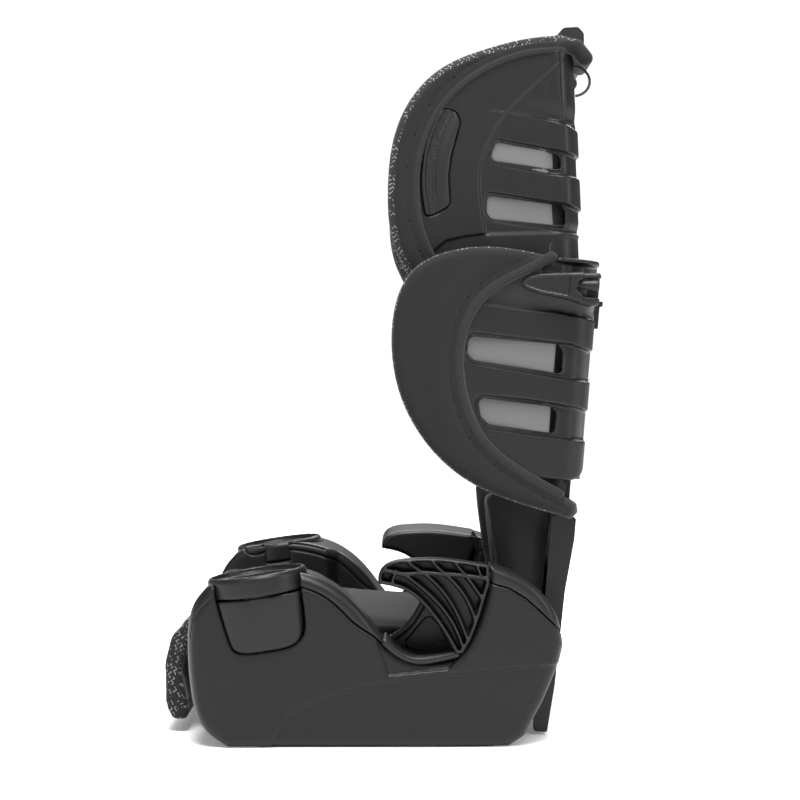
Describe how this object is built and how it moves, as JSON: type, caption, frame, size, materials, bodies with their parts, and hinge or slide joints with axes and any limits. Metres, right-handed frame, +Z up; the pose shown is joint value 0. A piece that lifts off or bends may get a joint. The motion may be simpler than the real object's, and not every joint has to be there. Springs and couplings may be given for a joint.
{
  "type": "booster seat",
  "caption": "High-back booster seat with a winged headrest that slides in height, a tilting backrest, armrests, lap-belt saddles and lift-out cup holders.",
  "frame": {"origin": "on the floor, at the middle of the whole seat's width and depth", "axes": "+X to the child's left, -Y to the front of the seat, +Y to the rear, +Z up"},
  "size_m": [0.43, 0.4378, 0.6938],
  "materials": {
    "base_plastic": "satin moulded, fine grain",
    "trim_plastic": "satin moulded",
    "cup_plastic": "smooth satin",
    "shell_plastic": "satin moulded, fine grain",
    "insert_plastic": "satin moulded",
    "latch_plastic": "satin moulded",
    "steel": "zinc plated",
    "lining_fabric": "light grey woven lining",
    "wing_fabric": "plain charcoal knit with a ribbed binding",
    "seat_fabric": "plain charcoal knit",
    "pattern_fabric": "black melange with pale flecks",
    "elastic": "round elastic cord"
  },
  "bodies": {
    "base": {"base_shell": "base_plastic", "bottom_plate": "base_plastic", "side_panel_left": "base_plastic", "side_panel_right": "base_plastic", "front_rail_left": "trim_plastic", "front_rail_right": "trim_plastic", "armrest_left": "trim_plastic", "armrest_right": "trim_plastic", "lap_belt_guide_left": "trim_plastic", "lap_belt_guide_right": "trim_plastic", "seat_cushion": "seat_fabric", "seat_flap": "pattern_fabric", "pivot_pins": "steel", "plate_screws": "steel"},
    "cup_left": {"cup_holder_left": "cup_plastic"},
    "cup_right": {"cup_holder_right": "cup_plastic"},
    "backrest": {"torso_shell": "shell_plastic", "wing_pad_left": "lining_fabric", "wing_pad_right": "lining_fabric", "torso_cover_left": "wing_fabric", "torso_cover_right": "wing_fabric", "torso_back_pad": "seat_fabric", "lower_back_shell": "shell_plastic", "lower_back_pad": "seat_fabric", "back_spine": "shell_plastic", "height_rack": "latch_plastic", "rail_guides": "latch_plastic", "shoulder_guide_left": "insert_plastic", "shoulder_guide_right": "insert_plastic", "cover_hook": "insert_plastic", "spine_screws": "steel"},
    "headrest": {"headrest_shell": "shell_plastic", "headrest_insert_left": "insert_plastic", "headrest_insert_right": "insert_plastic", "head_pad": "lining_fabric", "headrest_cover": "wing_fabric", "headrest_rail": "shell_plastic", "adjuster_housing": "insert_plastic", "cover_elastic_left": "elastic", "cover_elastic_right": "elastic"},
    "lever": {"adjuster_lever": "latch_plastic", "release_strip": "latch_plastic", "lever_spring": "steel"},
    "latch": {"latch_bolt": "steel"}
  },
  "joints": [
    {"name": "backrest_tilt", "type": "hinge", "parent": "base", "child": "backrest", "pos_m": [0, 0.1401, 0.062], "axis": [-1, 0, 0], "range_deg": [-6, 12]},
    {"name": "headrest_height", "type": "slide", "parent": "backrest", "child": "headrest", "axis": [0, 0.0802, 0.9968], "range_m": [0, 0.125]},
    {"name": "lever_pull", "type": "slide", "parent": "headrest", "child": "lever", "axis": [0, 0.0802, 0.9968], "range_m": [0, 0.006], "stiffness_N_per_m": 900, "springref_m": -0.003},
    {"name": "bolt_release", "type": "slide", "parent": "headrest", "child": "latch", "axis": [0, -0.9968, 0.0802], "range_m": [0, 0.0048]},
    {"name": "cup_left_lift", "type": "slide", "parent": "base", "child": "cup_left", "axis": [0, -0.1392, 0.9903], "range_m": [0, 0.08]},
    {"name": "cup_right_lift", "type": "slide", "parent": "base", "child": "cup_right", "axis": [0, -0.1392, 0.9903], "range_m": [0, 0.08]}
  ],
  "couplings": [
    {"joint": "bolt_release", "follows": "lever_pull", "ratio": 0.8}
  ]
}
